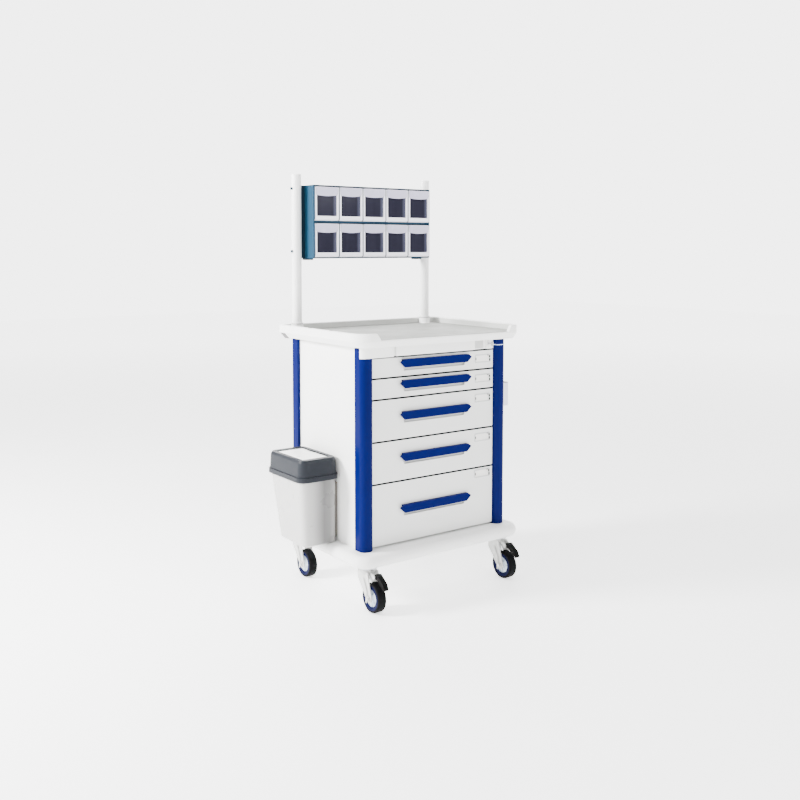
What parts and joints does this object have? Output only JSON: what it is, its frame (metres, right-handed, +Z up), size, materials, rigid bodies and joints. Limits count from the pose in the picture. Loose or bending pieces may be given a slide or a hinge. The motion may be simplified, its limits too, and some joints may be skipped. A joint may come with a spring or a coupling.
{
  "type": "hospital crash cart",
  "caption": "Hospital crash cart with sliding drawers, worktop, tilt bins on two poles, swing-lid waste bin and braked swivel casters.",
  "frame": {"origin": "on the floor, under the middle of the whole outline", "axes": "+Z up; the drawers open towards -Y; +X to the right seen from the front"},
  "size_m": [0.84, 0.5856, 1.475],
  "materials": {
    "column_blue": "satin blue coat",
    "drawer_white": "smooth satin white",
    "handle_blue": "smooth satin blue",
    "tray_steel": "white powder coat",
    "bin_clear": "translucent, smooth",
    "tyre_black": "matt",
    "hub_white": "smooth",
    "fork_grey": "satin light grey",
    "pedal_black": "textured",
    "platform_white": "fine moulded texture",
    "zinc_steel": "zinc plated",
    "panel_white": "fine powder coat",
    "rail_white": "smooth satin white",
    "worktop_white": "fine moulded texture",
    "pole_white": "satin white",
    "bracket_grey": "satin grey",
    "housing_teal": "smooth",
    "bracket_dark": "satin dark grey",
    "can_grey": "smooth light grey",
    "lid_grey": "smooth dark grey",
    "flap_white": "smooth white",
    "holder_clear": "translucent, smooth",
    "lock_steel": "polished"
  },
  "bodies": {
    "cart": {"base_platform": "platform_white", "caster_mounts": "zinc_steel", "front_column_left": "column_blue", "front_column_right": "column_blue", "rear_column_left": "column_blue", "rear_column_right": "column_blue", "side_panels": "panel_white", "back_panel": "panel_white", "top_rail": "rail_white", "drawer_rails": "zinc_steel", "worktop": "worktop_white", "pole_left": "pole_white", "pole_right": "pole_white", "bin_brackets": "bracket_grey", "bin_housings": "housing_teal", "waste_bracket": "bracket_dark", "waste_can": "can_grey", "waste_lid": "lid_grey", "side_holder": "holder_clear"},
    "drawer_1": {"drawer_front_1": "drawer_white", "drawer_tray_1": "tray_steel", "drawer_handle_1": "handle_blue"},
    "drawer_2": {"drawer_front_2": "drawer_white", "drawer_tray_2": "tray_steel", "drawer_handle_2": "handle_blue"},
    "drawer_3": {"drawer_front_3": "drawer_white", "drawer_tray_3": "tray_steel", "drawer_handle_3": "handle_blue"},
    "drawer_4": {"drawer_front_4": "drawer_white", "drawer_tray_4": "tray_steel", "drawer_handle_4": "handle_blue"},
    "drawer_5": {"drawer_front_5": "drawer_white", "drawer_tray_5": "tray_steel", "drawer_handle_5": "handle_blue"},
    "bin_a1": {"tilt_bin_a1": "bin_clear"},
    "bin_a2": {"tilt_bin_a2": "bin_clear"},
    "bin_a3": {"tilt_bin_a3": "bin_clear"},
    "bin_a4": {"tilt_bin_a4": "bin_clear"},
    "bin_a5": {"tilt_bin_a5": "bin_clear"},
    "bin_b1": {"tilt_bin_b1": "bin_clear"},
    "bin_b2": {"tilt_bin_b2": "bin_clear"},
    "bin_b3": {"tilt_bin_b3": "bin_clear"},
    "bin_b4": {"tilt_bin_b4": "bin_clear"},
    "bin_b5": {"tilt_bin_b5": "bin_clear"},
    "caster_fl": {"caster_fork_fl": "fork_grey"},
    "wheel_fl": {"wheel_hub_fl": "hub_white", "wheel_tyre_fl": "tyre_black"},
    "brake_fl": {"brake_pedal_fl": "pedal_black"},
    "caster_fr": {"caster_fork_fr": "fork_grey"},
    "wheel_fr": {"wheel_hub_fr": "hub_white", "wheel_tyre_fr": "tyre_black"},
    "brake_fr": {"brake_pedal_fr": "pedal_black"},
    "caster_rl": {"caster_fork_rl": "fork_grey"},
    "wheel_rl": {"wheel_hub_rl": "hub_white", "wheel_tyre_rl": "tyre_black"},
    "caster_rr": {"caster_fork_rr": "fork_grey"},
    "wheel_rr": {"wheel_hub_rr": "hub_white", "wheel_tyre_rr": "tyre_black"},
    "lock": {"lock_barrel": "lock_steel"},
    "flap": {"waste_flap": "flap_white"}
  },
  "joints": [
    {"name": "drawer_1_slide", "type": "slide", "parent": "cart", "child": "drawer_1", "axis": [0, -1, 0], "range_m": [0, 0.3]},
    {"name": "drawer_2_slide", "type": "slide", "parent": "cart", "child": "drawer_2", "axis": [0, -1, 0], "range_m": [0, 0.3]},
    {"name": "drawer_3_slide", "type": "slide", "parent": "cart", "child": "drawer_3", "axis": [0, -1, 0], "range_m": [0, 0.3]},
    {"name": "drawer_4_slide", "type": "slide", "parent": "cart", "child": "drawer_4", "axis": [0, -1, 0], "range_m": [0, 0.3]},
    {"name": "drawer_5_slide", "type": "slide", "parent": "cart", "child": "drawer_5", "axis": [0, -1, 0], "range_m": [0, 0.3]},
    {"name": "bin_a1_tilt", "type": "hinge", "parent": "cart", "child": "bin_a1", "pos_m": [-0.1628, 0.20345, 1.3125], "axis": [1, 0, 0], "range_deg": [0, 40]},
    {"name": "bin_a2_tilt", "type": "hinge", "parent": "cart", "child": "bin_a2", "pos_m": [-0.0584, 0.20345, 1.3125], "axis": [1, 0, 0], "range_deg": [0, 40]},
    {"name": "bin_a3_tilt", "type": "hinge", "parent": "cart", "child": "bin_a3", "pos_m": [0.046, 0.20345, 1.3125], "axis": [1, 0, 0], "range_deg": [0, 40]},
    {"name": "bin_a4_tilt", "type": "hinge", "parent": "cart", "child": "bin_a4", "pos_m": [0.1504, 0.20345, 1.3125], "axis": [1, 0, 0], "range_deg": [0, 40]},
    {"name": "bin_a5_tilt", "type": "hinge", "parent": "cart", "child": "bin_a5", "pos_m": [0.2548, 0.20345, 1.3125], "axis": [1, 0, 0], "range_deg": [0, 40]},
    {"name": "bin_b1_tilt", "type": "hinge", "parent": "cart", "child": "bin_b1", "pos_m": [-0.1628, 0.20345, 1.18], "axis": [1, 0, 0], "range_deg": [0, 40]},
    {"name": "bin_b2_tilt", "type": "hinge", "parent": "cart", "child": "bin_b2", "pos_m": [-0.0584, 0.20345, 1.18], "axis": [1, 0, 0], "range_deg": [0, 40]},
    {"name": "bin_b3_tilt", "type": "hinge", "parent": "cart", "child": "bin_b3", "pos_m": [0.046, 0.20345, 1.18], "axis": [1, 0, 0], "range_deg": [0, 40]},
    {"name": "bin_b4_tilt", "type": "hinge", "parent": "cart", "child": "bin_b4", "pos_m": [0.1504, 0.20345, 1.18], "axis": [1, 0, 0], "range_deg": [0, 40]},
    {"name": "bin_b5_tilt", "type": "hinge", "parent": "cart", "child": "bin_b5", "pos_m": [0.2548, 0.20345, 1.18], "axis": [1, 0, 0], "range_deg": [0, 40]},
    {"name": "caster_fl_swivel", "type": "hinge", "parent": "cart", "child": "caster_fl", "pos_m": [-0.244, -0.18475, 0.139], "axis": [0, 0, 1], "continuous": true},
    {"name": "wheel_fl_spin", "type": "hinge", "parent": "caster_fl", "child": "wheel_fl", "pos_m": [-0.244, -0.22275, 0.05], "axis": [1, 0, 0], "continuous": true},
    {"name": "brake_fl_press", "type": "hinge", "parent": "caster_fl", "child": "brake_fl", "pos_m": [-0.244, -0.23475, 0.124], "axis": [1, 0, 0], "range_deg": [0, 12]},
    {"name": "caster_fr_swivel", "type": "hinge", "parent": "cart", "child": "caster_fr", "pos_m": [0.336, -0.18475, 0.139], "axis": [0, 0, 1], "continuous": true},
    {"name": "wheel_fr_spin", "type": "hinge", "parent": "caster_fr", "child": "wheel_fr", "pos_m": [0.336, -0.22275, 0.05], "axis": [1, 0, 0], "continuous": true},
    {"name": "brake_fr_press", "type": "hinge", "parent": "caster_fr", "child": "brake_fr", "pos_m": [0.336, -0.23475, 0.124], "axis": [1, 0, 0], "range_deg": [0, 12]},
    {"name": "caster_rl_swivel", "type": "hinge", "parent": "cart", "child": "caster_rl", "pos_m": [-0.244, 0.25325, 0.139], "axis": [0, 0, 1], "continuous": true},
    {"name": "wheel_rl_spin", "type": "hinge", "parent": "caster_rl", "child": "wheel_rl", "pos_m": [-0.244, 0.21525, 0.05], "axis": [1, 0, 0], "continuous": true},
    {"name": "caster_rr_swivel", "type": "hinge", "parent": "cart", "child": "caster_rr", "pos_m": [0.336, 0.25325, 0.139], "axis": [0, 0, 1], "continuous": true},
    {"name": "wheel_rr_spin", "type": "hinge", "parent": "caster_rr", "child": "wheel_rr", "pos_m": [0.336, 0.21525, 0.05], "axis": [1, 0, 0], "continuous": true},
    {"name": "lock_turn", "type": "hinge", "parent": "cart", "child": "lock", "pos_m": [0.29, -0.17625, 0.864], "axis": [0, 1, 0], "range_deg": [0, 90]},
    {"name": "waste_flap_swing", "type": "hinge", "parent": "cart", "child": "flap", "pos_m": [-0.3405, 0.07625, 0.489], "axis": [0, 1, 0], "range_deg": [-60, 60]}
  ]
}
